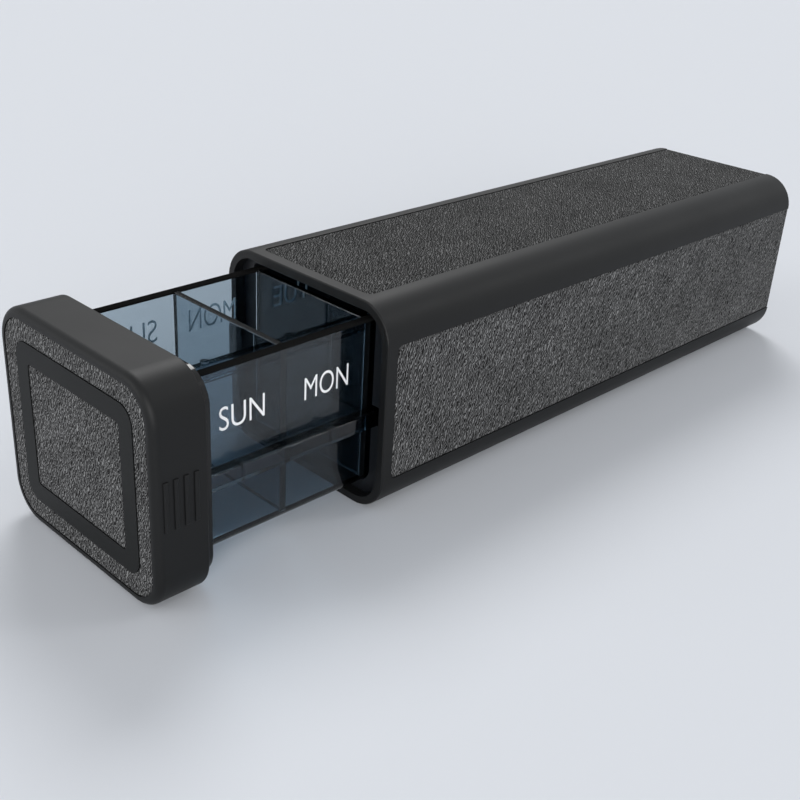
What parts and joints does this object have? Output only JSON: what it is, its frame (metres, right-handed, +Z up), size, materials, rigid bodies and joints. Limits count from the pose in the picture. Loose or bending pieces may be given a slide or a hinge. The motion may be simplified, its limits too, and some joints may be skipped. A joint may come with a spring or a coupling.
{
  "type": "weekly pill drawer organizer",
  "caption": "Rounded case with leather panels and a clear sliding drawer whose divided compartments hold each day's pills, closed by a matching cap.",
  "frame": {"origin": "middle of the case's flat underside, halfway between its mouth and its rear end", "axes": "+Z up, +Y along the case from the mouth to the rear end, +X to the right seen from the front; the drawer opens towards -Y"},
  "size_m": [0.0568, 0.2358, 0.051],
  "materials": {
    "soft_touch_black": "soft-touch matt charcoal plastic",
    "guide_black": "plain moulded black plastic, fine satin",
    "ring_black": "satin black plastic",
    "grey_leather": "grey grained artificial leather",
    "smoke_clear": "polished smoke-tinted clear plastic",
    "label_white": "flat white print",
    "spring_steel": "bright spring steel strip",
    "screw_steel": "zinc-plated steel"
  },
  "bodies": {
    "case": {"case_sleeve": "soft_touch_black", "lower_guide": "guide_black", "upper_guide": "guide_black", "right_detent_spring": "spring_steel", "left_detent_spring": "spring_steel", "rear_cover": "soft_touch_black", "rear_cover_screws": "screw_steel", "top_leather_panel": "grey_leather", "base_leather_panel": "grey_leather", "right_leather_panel": "grey_leather", "left_leather_panel": "grey_leather"},
    "drawer": {"tray": "smoke_clear", "divider_sun_mon": "smoke_clear", "divider_mon_tue": "smoke_clear", "divider_tue_wed": "smoke_clear", "divider_wed_thu": "smoke_clear", "divider_thu_fri": "smoke_clear", "divider_fri_sat": "smoke_clear", "cap_shell": "soft_touch_black", "cap_back": "guide_black", "cap_screws": "screw_steel", "cap_leather_frame": "grey_leather", "cap_ring": "ring_black", "cap_leather_centre": "grey_leather"}
  },
  "joints": [
    {"name": "drawer_slide", "type": "slide", "parent": "case", "child": "drawer", "axis": [0, -1, 0], "range_m": [-0.0475, 0.1115]}
  ]
}
